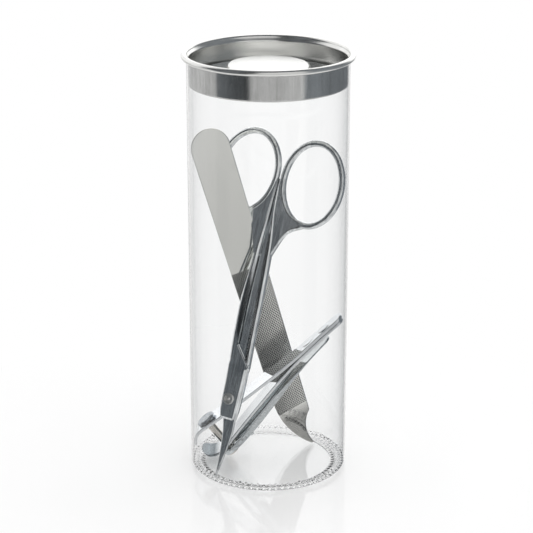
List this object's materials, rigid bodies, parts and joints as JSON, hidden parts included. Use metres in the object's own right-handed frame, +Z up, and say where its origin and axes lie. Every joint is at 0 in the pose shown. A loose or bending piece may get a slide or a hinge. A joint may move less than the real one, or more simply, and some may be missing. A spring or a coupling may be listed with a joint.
{
  "type": "manicure set case",
  "caption": "Clear tube case with a metal plug lid, holding nail scissors, a nail file and a nail clipper.",
  "frame": {"origin": "centre of the tube's underside, on the table", "axes": "+Z up along the tube, front is -Y, +X to the right seen from the front"},
  "size_m": [0.0426, 0.0426, 0.1084],
  "materials": {
    "clear_plastic": "clear and glossy",
    "lid_tinplate": "satin tinplate",
    "scissors_steel": "polished",
    "file_steel": "satin with a cut pattern",
    "clipper_chrome": "polished",
    "post_steel": "turned"
  },
  "bodies": {
    "case": {"tube_wall": "clear_plastic", "base_disc": "clear_plastic"},
    "lid_body": {"lid": "lid_tinplate"},
    "scissors_right": {"scissors_right_half": "scissors_steel", "scissors_screw": "scissors_steel"},
    "scissors_left": {"scissors_left_half": "scissors_steel"},
    "file_body": {"nail_file": "file_steel"},
    "clipper": {"clipper_upper_leaf": "clipper_chrome", "clipper_rivets": "clipper_chrome"},
    "clipper_jaw": {"clipper_lower_leaf": "clipper_chrome"},
    "post_body": {"clipper_post": "post_steel"},
    "lever_body": {"clipper_lever": "clipper_chrome"}
  },
  "joints": [
    {"name": "lid_pull", "type": "slide", "parent": "case", "child": "lid_body", "axis": [0, 0, 1], "range_m": [0, 0.24]},
    {"name": "scissors_lift", "type": "slide", "parent": "case", "child": "scissors_right", "axis": [0, 0, 1], "range_m": [0, 0.12]},
    {"name": "scissors_open", "type": "hinge", "parent": "scissors_right", "child": "scissors_left", "pos_m": [-0.0098, -0.0079, 0.02075], "axis": [-0.3388, -0.8915, 0.3008], "range_deg": [0, 0.9]},
    {"name": "file_lift", "type": "slide", "parent": "case", "child": "file_body", "axis": [0, 0, 1], "range_m": [0, 0.12]},
    {"name": "clipper_lift", "type": "slide", "parent": "case", "child": "clipper", "axis": [0, 0, 1], "range_m": [0, 0.12]},
    {"name": "clipper_squeeze", "type": "hinge", "parent": "clipper", "child": "clipper_jaw", "pos_m": [0.00882, 0.0005, 0.03038], "axis": [0, 1, 0], "range_deg": [0, 1.5], "stiffness_Nm_per_rad": 15},
    {"name": "post_turn", "type": "hinge", "parent": "clipper", "child": "post_body", "pos_m": [-0.0142, 0.0005, 0.00887], "axis": [-0.6239, 0, 0.7815], "range_deg": [-10, 3]},
    {"name": "lever_swing", "type": "hinge", "parent": "post_body", "child": "lever_body", "pos_m": [-0.0093, 0.0005, 0.00274], "axis": [0, 1, 0], "range_deg": [0, 3]}
  ],
  "couplings": [
    {"joint": "scissors_lift", "follows": "lid_pull", "ratio": 0.5},
    {"joint": "file_lift", "follows": "lid_pull", "ratio": 0.5},
    {"joint": "clipper_lift", "follows": "lid_pull", "ratio": 0.5}
  ]
}
